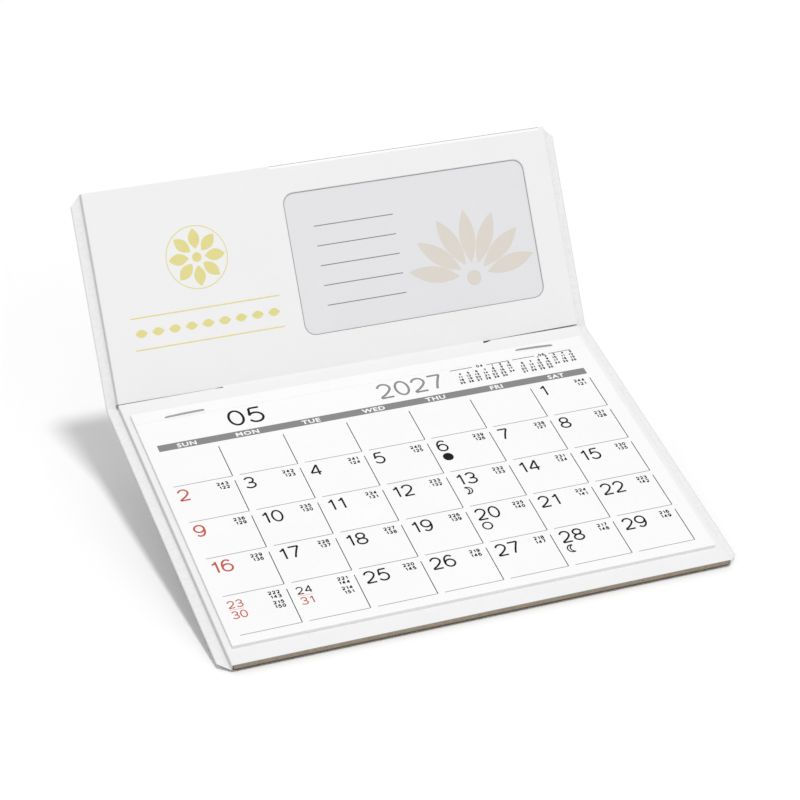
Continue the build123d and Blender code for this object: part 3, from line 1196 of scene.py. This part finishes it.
@dataclass
class Cover:
    """The two sleeves with their boards, and the skin that joins them at the fold.

    Attributes:
        flange: Width of the flanges, in millimetres.
        crease_radius: Inner radius of the back skin's bend, in millimetres.
        crease_rise: Height of that bend's middle over the fold line, in millimetres.
        bridge_radius: Inner radius of the bridge's bend, in millimetres.
        pressed: Heights over the desk between which the painted contact shade on the base board's foot fades out, in
            metres.
    """

    flange: float = 3.1
    crease_radius: float = 0.375
    crease_rise: float = 0.5
    bridge_radius: float = 1.2
    pressed: tuple[float, float] = (0.0004, 0.0008)

    def build(self, shop: Workshop) -> None:
        """Dress the sleeves and boards and model the two bent strips.

        Args:
            shop: The workshop.
        """
        crease = shop.crease
        line = crease.at_fold(crease.slope)
        # Painted shade: the base skins' cut faces in front and along their mitres are painted dark grey.
        for node in ("base_bottom_skin", "base_top_skin"):
            edge = line @ Vector((0, reach_of(shop.node(node), line)[0].y, 0))
            front = edge.y * math.cos(crease.slope) + edge.z * math.sin(crease.slope)
            shop.dress(replace(SKIN, name=f"{node}_painted_shade_at_front", slope=crease.slope, front=front), node)
        shop.dress(SKIN, "panel_back_skin", "panel_front_skin")
        # Painted shade: the base board is darkened at its foot, where it meets the desk.
        shop.dress(replace(BOARD, name="chipboard_painted_contact_shade", foot=self.pressed), "base_board")
        shop.dress(BOARD, "panel_board")
        shop.dress(LINED_BOARD, "pocket_spacer")
        bodies = ("base", "panel")
        back = BentStrip(
            "fold_back_skin", "hinge_back_strip", crease.turn,
            self.crease_radius, self.crease_rise, bodies, self.flange,
        )
        bridge = BentStrip(
            "fold_bridge_skin", "hinge_bridge_strip", crease.turn,
            self.bridge_radius, crease.front_level + self.bridge_radius, bodies,
        )
        for strip in (back, bridge):
            strip.build(shop, line)


@dataclass
class EaselLeg:
    """The leg behind the panel, with the board that fixes it and its creased skin.

    Attributes:
        crease_radius: Inner radius of the crease's bend, in millimetres.
        crease_rise: Height of the bend's middle over the crease line, in millimetres.
    """

    crease_radius: float = 0.375
    crease_rise: float = 0.5

    def build(self, shop: Workshop) -> None:
        """Dress the leg and model its crease.

        Args:
            shop: The workshop.
        """
        shop.dress(SKIN, "leg_tab", "leg_skin")
        shop.dress(BOARD, "leg_mount_board", "leg_board")
        joint = next(joint for joint in shop.frame["joints"] if joint["name"] == "leg_fold")
        swing = math.radians(joint["range_deg"][1])
        turned = Matrix.Rotation(shop.crease.slope + shop.crease.turn + math.pi, 4, "X")
        line = Matrix.Translation(joint["pos_m"]) @ turned @ Matrix.Scale(MM, 4)
        strip = BentStrip(
            "leg_crease_skin", "leg_hinge_strip", swing,
            self.crease_radius, self.crease_rise, ("panel", "leg"),
        )
        strip.build(shop, line)


@dataclass
class WindowLip:
    """The skin's edge round the window, rolled in towards the card, with a painted highlight on the roll and a band of
    painted shade at its foot, in millimetres.

    Attributes:
        side_lap: How far the skin laps over the card at its left and right.
        end_lap: How far it laps over the card at its head and foot.
        corner: Radius of the window's corners.
        start: How far outside the window the edge starts to roll in.
        width: Width of the rolled edge.
        depth: How far it rolls in.
        cut: Width of the band of painted shade at its foot, for the shaded gap between the edge and the card.
        cut_thickness: Thickness of that band.
        proud: How far its outer line stands over the skin.
        steps: Steps across it.
        corner_steps: Steps round a corner.
        weld: Distance under which points of the wrapped sheet are joined.
    """

    side_lap: float = 2.7
    end_lap: float = 2.35
    corner: float = 3.8
    start: float = 0.3
    width: float = 0.36
    depth: float = 0.28
    cut: float = 0.26
    cut_thickness: float = 0.05
    proud: float = 0.003
    steps: int = 5
    corner_steps: int = 8
    weld: float = 0.0005

    def _section(self) -> list[Point]:
        """Go round the lip's section.

        Returns:
            Distance outside the window and height of each point.
        """
        turns = [step / self.steps * math.pi / 2 for step in range(self.steps + 1)]
        rolled = [(self.start - self.width * math.sin(t), self.proud - self.depth * (1 - math.cos(t))) for t in turns]
        foot, floor = self.start - self.width - self.cut, self.proud - self.depth
        under = floor - self.cut_thickness
        return [*rolled, (foot, floor), (foot, under), (self.start, under)]

    def build(self, shop: Workshop) -> None:
        """Model the lip as a sheet that is wrapped round the window and closed both ways.

        Args:
            shop: The workshop.
        """
        page = shop.crease.panel_page()
        low, high = reach_of(shop.node("message_card"), page)
        inset = Vector((self.side_lap + self.corner, self.end_lap + self.corner, 0))
        low, high = low + inset, high - inset
        around = 4 * (self.corner_steps + 1)
        section = self._section()
        shape = bmesh.new()
        bmesh.ops.create_grid(shape, x_segments=around, y_segments=len(section), size=0.5)
        for face in shape.faces:
            # The rolled faces get the painted highlight and the flat band at the foot the painted shade.
            face.smooth = (face.calc_center_median().y + 0.5) * len(section) < self.steps
            face.material_index = 0 if face.smooth else 1
        for vert in shape.verts:
            number = round((vert.co.x + 0.5) * around) % around
            out, height = section[round((vert.co.y + 0.5) * len(section)) % len(section)]
            quarter, part = divmod(number, self.corner_steps + 1)
            angle = (quarter + part / self.corner_steps) * math.pi / 2
            x = high.x if quarter in (0, 3) else low.x
            y = high.y if quarter in (0, 1) else low.y
            reach = self.corner + out
            vert.co = (x + reach * math.cos(angle), y + reach * math.sin(angle), height)
        bmesh.ops.remove_doubles(shape, verts=shape.verts, dist=self.weld)
        bmesh.ops.transform(shape, matrix=page, verts=shape.verts)
        bmesh.ops.recalc_face_normals(shape, faces=shape.faces)
        lip = shop.piece(shape, "window_lip", PAINTED_HIGHLIGHT, PAINTED_SHADE)
        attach(lip, "panel")


@dataclass
class PocketMouth:
    """A painted highlight for the skin's rim at the open mouth of the pocket, and painted shade for the gap behind it,
    in millimetres.

    Attributes:
        spare: How far the mouth runs on beside the card, to the sleeve's wall.
        gap: Width of the bar of painted shade for the gap over the rim.
        rim: Width of the painted highlight along the rim.
        depth: How deep both go into the skin.
        proud: How far they stand over the skin.
        margin: How far they stay below the panel's edge.
    """

    spare: float = 4.9
    gap: float = 0.16
    rim: float = 0.75
    depth: float = 0.1
    proud: float = 0.003
    margin: float = 0.01

    def build(self, shop: Workshop) -> None:
        """Model the painted highlight of the rim and the painted shade of the gap over the width of the pocket.

        Args:
            shop: The workshop.
        """
        page = shop.crease.panel_page()
        left, right = (corner.x for corner in reach_of(shop.node("message_card"), page))
        top = reach_of(shop.node("panel_front_skin"), page)[1].y - self.margin
        levels = (top - self.gap - self.rim, top - self.gap, top)
        shape = bmesh.new()
        # The lower slab is the painted highlight of the rim and the upper the painted shade of the gap.
        for number, (low, high) in enumerate(zip(levels, levels[1:])):
            corners = Vector((left, low, self.proud - self.depth)), Vector((right + self.spare, high, self.proud))
            for face in slab(shape, *corners, page):
                face.material_index = number
        mouth = shop.piece(shape, "painted_pocket_mouth", PAINTED_HIGHLIGHT, PAINTED_SHADE)
        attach(mouth, "panel")


@dataclass
class PanelOrnament:
    """Gold foil on the panel beside the window: a rosette over a beaded rule, in millimetres."""

    middle_x: float = -45.4
    rosette_y: float = 41.6
    petals: int = 8
    petal_root: float = 2.6
    petal_length: float = 6.6
    petal_width: float = 3.7
    petal_steps: int = 24
    ring_radius: float = 10.1
    ring_line: float = 0.32
    ring_steps: int = 72
    heart_radius: float = 1.55
    rule_half: float = 24.5
    rule_levels: tuple[float, float] = (25.6, 15.6)
    rule_line: float = 0.42
    bead_level: float = 20.6
    beads: int = 9
    bead_length: float = 4.0
    bead_width: float = 2.6

    def build(self, shop: Workshop) -> None:
        """Print the ornament.

        Args:
            shop: The workshop.
        """
        run = PrintRun(shop, Ink.GOLD)
        run.ring(Ink.GOLD, self.middle_x, self.rosette_y, self.ring_radius, self.ring_line, self.ring_steps)
        run.disc(Ink.GOLD, self.middle_x, self.rosette_y, self.heart_radius)
        heart = Vector((self.middle_x, self.rosette_y))
        for number in range(self.petals):
            angle = 2 * math.pi * number / self.petals
            root = heart + self.petal_root * Vector((math.cos(angle), math.sin(angle)))
            run.petal(Ink.GOLD, root, angle, self.petal_length, self.petal_width, self.petal_steps)
        left = self.middle_x - self.rule_half
        for level in self.rule_levels:
            run.rule(Ink.GOLD, left, self.middle_x + self.rule_half, level, self.rule_line)
        pitch = 2 * self.rule_half / self.beads
        for number in range(self.beads):
            root = Vector((left + (number + 0.5) * pitch - self.bead_length / 2, self.bead_level))
            run.petal(Ink.GOLD, root, 0.0, self.bead_length, self.bead_width)
        run.issue("panel_ornament", shop.crease.panel_page(), "panel")


@dataclass
class MessageCard:
    """The card in the window: ruled lines beside a pale fan, in millimetres on the panel's page."""

    lines: int = 5
    line_left: float = -5.5
    line_right: float = 21.5
    line_top: float = 45.5
    line_pitch: float = 6.4
    line_weight: float = 0.3
    fan_x: float = 45.5
    fan_y: float = 21.0
    fan_petals: int = 7
    fan_root: float = 5.0
    fan_length: float = 17.5
    fan_width: float = 5.4
    fan_steps: int = 24

    def build(self, shop: Workshop) -> None:
        """Dress the card and print it.

        Args:
            shop: The workshop.
        """
        shop.dress(CARD, "message_card")
        run = PrintRun(shop, Ink.RULE, Ink.BEIGE)
        for number in range(self.lines):
            level = self.line_top - number * self.line_pitch
            run.rule(Ink.RULE, self.line_left, self.line_right, level, self.line_weight)
        for number in range(self.fan_petals):
            angle = math.pi * (number + 0.5) / self.fan_petals
            root = Vector((self.fan_x, self.fan_y)) + self.fan_root * Vector((math.cos(angle), math.sin(angle)))
            run.petal(Ink.BEIGE, root, angle, self.fan_length, self.fan_width, self.fan_steps)
        run.disc(Ink.BEIGE, self.fan_x, self.fan_y, self.fan_root / 2)
        face = level_of(shop.node("message_card"), shop.crease.panel_page())
        run.issue("card_print", shop.crease.panel_page(face), "card")


@dataclass(frozen=True)
class MonthLayout:
    """Where the print of a month stands on its leaf, in millimetres from the crease and the middle."""

    band_left: float = -72.3
    band_right: float = 71.1
    band_top: float = -22.0
    band_bottom: float = -24.9
    first_right: float = -54.2
    column: float = 20.87
    first_bottom: float = -40.9
    row: float = 15.9
    rows: int = 5
    line: float = 0.25
    upright: float = 0.27
    line_start: float = 2.2
    upright_start: float = 2.0
    date_inset: float = 0.1
    date_drop: float = 1.6
    stack_drop: float = 0.6
    stack_pitch: float = 4.25
    stack_rule: float = 0.13
    stack_rule_length: float = 4.5
    counter_inset: float = 2.2
    counter_drop: float = 1.65
    counter_pitch: float = 1.68
    counter_stack: float = 4.0
    moon_radius: float = 1.7
    moon_line: float = 0.5
    crescent_line: float = 0.42
    crescent_half: float = 110.0
    crescent_waist_share: float = 0.45
    moon_drop: float = 9.25
    moon_inset: float = 1.85
    month_left: float = -47.6
    title_foot: float = -19.6
    year_left: float = 2.0
    mini_lefts: tuple[float, float] = (28.1, 50.0)
    mini_width: float = 20.6
    mini_line_level: float = -12.4
    mini_title_gap: float = 5.0
    mini_first_foot: float = -13.75
    mini_row: float = 1.39
    mini_column: float = 2.93

    def right_of(self, column: int) -> float:
        """Right line of a column of days."""
        return self.first_right + column * self.column

    def bottom_of(self, row: int) -> float:
        """Bottom line of a row of days; row -1 gives the line that the first row would hang from."""
        return self.first_bottom - row * self.row


DATE = Type(5.1, 0.71, 0.118, 0.11, 6)
STACKED_DATE = Type(3.1, 0.72, 0.125, 0.1, 4)
COUNTER = Type(1.45, 0.76, 0.235, 0.13, 3)
WEEKDAY = Type(1.7, 0.86, 0.2, 0.12, 2)
MONTH = Type(7.2, 0.74, 0.112, 0.14, 8)
YEAR = Type(7.0, 0.7, 0.105, 0.13, 8)
MINI = Type(1.1, 0.8, 0.29, 0.12, 2)
MINI_TITLE = Type(1.25, 0.85, 0.26, 0.14, 2)
WEEKDAY_NAMES = ("SUN", "MON", "TUE", "WED", "THU", "FRI", "SAT")
NEW_MOON = datetime.date(2027, 5, 6)
QUARTER_DAYS = 29.53 / 4


def month_after(year: int, month: int, step: int) -> tuple[int, int]:
    """Year and month some months after a month."""
    count = year * 12 + month - 1 + step
    return count // 12, count % 12 + 1


def weeks_of(year: int, month: int) -> list[list[int]]:
    """Days of a month by weeks that start on Sunday, with 0 where a day is of another month."""
    return calendar.Calendar(firstweekday=calendar.SUNDAY).monthdayscalendar(year, month)


@dataclass
class MonthPage:
    """The print of one month."""

    year: int
    month: int
    layout: MonthLayout
    run: PrintRun

    def moon_on(self, day: int) -> MoonPhase | None:
        """Find the quarter of the moon that falls on a day.

        Args:
            day: The date.

        Returns:
            The quarter, or None.
        """
        since = (datetime.date(self.year, self.month, day) - NEW_MOON).days
        number = math.ceil(since / QUARTER_DAYS)
        if math.floor(number * QUARTER_DAYS) == since:
            return MoonPhase(number % len(MoonPhase))
        return None

    def draw(self) -> None:
        """Print the whole month."""
        self._head()
        self._grid()
        for left, step in zip(self.layout.mini_lefts, (-1, 1)):
            self._mini(left, *month_after(self.year, self.month, step))
        self._days()

    def _head(self) -> None:
        """Month, year and the band of weekdays."""
        at = self.layout
        self.run.figures(Ink.BLACK, f"{self.month:02d}", MONTH, at.month_left, at.title_foot)
        self.run.figures(Ink.GREY, str(self.year), YEAR, at.year_left, at.title_foot)
        self.run.bar(Ink.BAND, at.band_left, at.band_bottom, at.band_right, at.band_top)
        foot = (at.band_bottom + at.band_top - WEEKDAY.height) / 2
        for column, name in enumerate(WEEKDAY_NAMES):
            right = at.right_of(column)
            middle = (max(at.band_left, right - at.column) + right) / 2
            self.run.figures(Ink.WHITE, name, WEEKDAY, middle, foot, Anchor.CENTRE, films=2)

    def _grid(self) -> None:
        """Lines to the right of and below each day, open at their crossings."""
        at = self.layout
        for row in range(at.rows):
            bottom = at.bottom_of(row)
            top = at.bottom_of(row - 1) - at.upright_start
            for column in range(len(WEEKDAY_NAMES)):
                right = at.right_of(column)
                left = right - at.column + at.line_start
                self.run.rule(Ink.GREY, left, right - at.upright / 2, bottom, at.line)
                self.run.bar(Ink.BLACK, right - at.upright / 2, bottom, right + at.upright / 2, top)

    def _mini(self, left: float, year: int, month: int) -> None:
        """A small month: its number in a rule, and its days.

        Args:
            left: Its left end.
            year: Its year.
            month: Its number.
        """
        at = self.layout
        right, middle = left + at.mini_width, left + at.mini_width / 2
        half_gap = at.mini_title_gap / 2
        for start, end in ((left, middle - half_gap), (middle + half_gap, right)):
            self.run.rule(Ink.BLACK, start, end, at.mini_line_level, at.line)
        title_foot = at.mini_line_level - MINI_TITLE.height / 2
        self.run.figures(Ink.BLACK, f"{month:02d}", MINI_TITLE, middle, title_foot, Anchor.CENTRE)
        for row, week in enumerate(weeks_of(year, month)):
            foot = at.mini_first_foot - row * at.mini_row
            for column, day in enumerate(week, 1 - len(week)):
                if day:
                    self.run.figures(Ink.BLACK, str(day), MINI, right + column * at.mini_column, foot, Anchor.RIGHT)

    def _days(self) -> None:
        """Dates with their counters and moons; a sixth week shares the cells of the fifth."""
        weeks = weeks_of(self.year, self.month)
        rows = self.layout.rows
        spare = weeks[rows] if len(weeks) > rows else [0] * len(WEEKDAY_NAMES)
        for row, week in enumerate(weeks[:rows]):
            for column, day in enumerate(week):
                if day:
                    self._cell(row, column, day, spare[column] if row == rows - 1 else 0)

    def _cell(self, row: int, column: int, day: int, late: int) -> None:
        """One day, or a day stacked over the same weekday a week later.

        Args:
            row: The week's row.
            column: The weekday's column.
            day: The date.
            late: The date a week later that shares the cell, or 0.
        """
        at = self.layout
        ink = Ink.RED if column == 0 else Ink.BLACK
        left = at.right_of(column) - at.column + at.line_start + at.date_inset
        head = at.bottom_of(row - 1) - at.date_drop
        if late:
            head -= at.stack_drop
            self.run.figures(ink, str(day), STACKED_DATE, left, head - STACKED_DATE.height)
            self.run.figures(Ink.RED, str(late), STACKED_DATE, left, head - STACKED_DATE.height - at.stack_pitch)
            level = head - (STACKED_DATE.height + at.stack_pitch) / 2
            self.run.rule(Ink.RED, left, left + at.stack_rule_length, level, at.stack_rule)
            self._counters(column, row, late, at.counter_stack)
        else:
            self.run.figures(ink, str(day), DATE, left, head - DATE.height)
        self._counters(column, row, day)
        phase = self.moon_on(day)
        if phase is not None:
            self._moon(left + at.moon_inset, at.bottom_of(row - 1) - at.moon_drop, phase)

    def _counters(self, column: int, row: int, day: int, lower: float = 0.0) -> None:
        """The number of days left in the year over the day's own number.

        Args:
            column: The weekday's column.
            row: The week's row.
            day: The date.
            lower: How far below their first place they stand.
        """
        at = self.layout
        gone = datetime.date(self.year, self.month, day).timetuple().tm_yday
        left = datetime.date(self.year, 12, 31).timetuple().tm_yday - gone
        right = at.right_of(column) - at.counter_inset
        foot = at.bottom_of(row - 1) - at.counter_drop - COUNTER.height - lower
        for step, number in enumerate((left, gone)):
            self.run.figures(Ink.BLACK, f"{number:03d}", COUNTER, right, foot - step * at.counter_pitch, Anchor.RIGHT)

    def _moon(self, x: float, y: float, phase: MoonPhase) -> None:
        """The sign of a quarter of the moon.

        Args:
            x: Its middle.
            y: Its middle.
            phase: Which quarter.
        """
        at = self.layout
        if phase is MoonPhase.NEW:
            self.run.disc(Ink.BLACK, x, y, at.moon_radius)
        elif phase is MoonPhase.FULL:
            self.run.ring(Ink.BLACK, x, y, at.moon_radius, at.moon_line)
        else:
            self._crescent(x, y, 1 if phase is MoonPhase.FIRST_QUARTER else -1)

    def _crescent(self, x: float, y: float, side: int) -> None:
        """A crescent drawn with two arcs that share their ends.

        Args:
            x: The moon's middle.
            y: The moon's middle.
            side: 1 where it bulges to the right, -1 to the left.
        """
        at = self.layout
        middle = 0.0 if side > 0 else math.pi
        half = math.radians(at.crescent_half)
        horn = at.moon_radius * Vector((math.cos(half), math.sin(half)))
        waist = at.crescent_waist_share * at.moon_radius
        radius = ((waist - horn.x) ** 2 + horn.y**2) / (2 * (waist - horn.x))
        hollow = math.atan2(horn.y, horn.x - waist + radius)
        self.run.arc(Ink.BLACK, x, y, at.moon_radius, at.crescent_line, middle, half)
        self.run.arc(Ink.BLACK, x + side * (waist - radius), y, radius, at.crescent_line, middle, hollow)


@dataclass
class MonthPad:
    """The stapled pad: twelve printed leaves, their stubs and two staples.

    Attributes:
        first_year: Year of the first leaf.
        first_month: Month of the first leaf.
        leaves: Number of leaves.
        print_shift: How far the print is off its place on the leaves, in millimetres.
        print_turn: How far it is turned about the crease's middle, in degrees.
        layout: Where the print of a month stands.
    """

    first_year: int = 2027
    first_month: int = 5
    leaves: int = 12
    print_shift: tuple[float, float] = (-0.55, -0.2)
    print_turn: float = 0.17
    layout: MonthLayout = field(default_factory=MonthLayout)

    def build(self, shop: Workshop) -> None:
        """Dress the pad and print each leaf.

        Args:
            shop: The workshop.
        """
        shop.dress(WIRE, "staple_left", "staple_right")
        shop.dress(PAPER, "pad_stubs")
        askew = Matrix.Translation((*self.print_shift, 0)) @ Matrix.Rotation(math.radians(self.print_turn), 4, "Z")
        for number in range(1, self.leaves + 1):
            sheet = f"month_sheet_{number:02d}"
            shop.dress(PAPER, sheet)
            run = PrintRun(shop, Ink.BLACK, Ink.GREY, Ink.BAND, Ink.RED, Ink.WHITE)
            MonthPage(*month_after(self.first_year, self.first_month, number - 1), self.layout, run).draw()
            place = shop.crease.base_page(level_of(shop.node(sheet), shop.crease.base_page()))
            run.issue(f"month_print_{number:02d}", place @ askew, f"month_{number:02d}")


# Studio


@dataclass
class Studio:
    """A pale desk, soft light from above and in front, and the camera.

    Attributes:
        desk_half: Half of the desk's side, in metres.
        desk_cells: Cells along its side.
        desk_gap: How far it lies below the calendar, in metres.
        world_strength: Strength of the white surroundings.
        key_strength: Strength of the key light.
        key_spread: Angle that the key light fills, in degrees.
        key_tilt: Its tilt to the front, in degrees.
        key_lean: Its lean to the side, in degrees.
        fill_power: Power of the fill light, in watts.
        fill_size: Its side, in metres.
        fill_place: Where it hangs, in metres.
        camera_from_crease: Where the camera stands from the crease's middle, in metres.
        camera_azimuth: Its turn about the calendar, in degrees.
        camera_elevation: How far it looks down, in degrees.
        lens: Its focal length, in millimetres.
        sensor: Width of its picture, in millimetres.
        clip: Nearest and farthest that it sees, in metres.
    """

    desk_half: float = 4.0
    desk_cells: int = 8
    desk_gap: float = 0.0004
    world_strength: float = 0.62
    key_strength: float = 1.42
    key_spread: float = 8.0
    key_tilt: float = 12.5
    key_lean: float = 3.3
    fill_power: float = 2.7
    fill_size: float = 0.9
    fill_place: tuple[float, float, float] = (0.15, -1.3, 0.75)
    camera_from_crease: tuple[float, float, float] = (-0.254689, -0.687696, 0.367852)
    camera_azimuth: float = -21.445
    camera_elevation: float = 27.452
    lens: float = 115.32
    sensor: float = 36.0
    clip: tuple[float, float] = (0.01, 50.0)

    def build(self, shop: Workshop) -> None:
        """Set desk, light and camera.

        Args:
            shop: The workshop, whose crease the camera is placed from.
        """
        self._desk(shop)
        self._light()
        self._camera(shop.crease.point)
        bpy.context.scene.view_settings.view_transform = "Standard"

    def _desk(self, shop: Workshop) -> None:
        """A plain pale desk under the calendar.

        Args:
            shop: The workshop.
        """
        shape = bmesh.new()
        bmesh.ops.create_grid(shape, x_segments=self.desk_cells, y_segments=self.desk_cells, size=self.desk_half)
        bmesh.ops.translate(shape, verts=shape.verts, vec=(0, 0, -self.desk_gap))
        desk = shop.piece(shape, "desk", DESK)

    def _light(self) -> None:
        """White surroundings, a key from overhead and a wide fill in front."""
        world = bpy.data.worlds.new("studio")
        world.use_nodes = True
        sky = world.node_tree.nodes["Background"].inputs
        sky["Color"].default_value = (1.0, 1.0, 1.0, 1.0)
        sky["Strength"].default_value = self.world_strength
        bpy.context.scene.world = world
        sun = bpy.data.lights.new("key", "SUN")
        sun.energy = self.key_strength
        sun.angle = math.radians(self.key_spread)
        key = bpy.data.objects.new("key", sun)
        key.rotation_euler = (math.radians(self.key_tilt), math.radians(self.key_lean), 0.0)
        area = bpy.data.lights.new("fill", "AREA")
        area.energy = self.fill_power
        area.size = self.fill_size
        fill = bpy.data.objects.new("fill", area)
        fill.location = self.fill_place
        fill.rotation_euler = (-Vector(self.fill_place)).to_track_quat("-Z", "Y").to_euler()
        for lamp in (key, fill):
            bpy.context.scene.collection.objects.link(lamp)

    def _camera(self, crease: Vector) -> None:
        """A level camera in front of the left corner.

        Args:
            crease: The crease's middle, in metres.
        """
        turn, height = math.radians(self.camera_azimuth), math.radians(self.camera_elevation)
        look = Vector((-math.sin(turn) * math.cos(height), math.cos(turn) * math.cos(height), -math.sin(height)))
        lens = bpy.data.cameras.new("camera")
        lens.lens = self.lens
        lens.sensor_width = self.sensor
        lens.clip_start, lens.clip_end = self.clip
        camera = bpy.data.objects.new("camera", lens)
        camera.location = crease + Vector(self.camera_from_crease)
        camera.rotation_euler = look.to_track_quat("-Z", "Y").to_euler()
        bpy.context.scene.collection.objects.link(camera)
        bpy.context.scene.camera = camera


def main() -> None:
    """Build the calendar's looks piece by piece."""
    logging.basicConfig(level=logging.INFO, format="%(name)s: %(message)s")
    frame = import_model()
    shop = Workshop(frame, Crease.from_frame(frame))
    for part in (Cover(), EaselLeg(), WindowLip(), PocketMouth(), PanelOrnament(), MessageCard(), MonthPad(), Studio()):
        part.build(shop)
        LOG.info("built the %s", type(part).__name__)


if __name__ == "__main__":
    main()
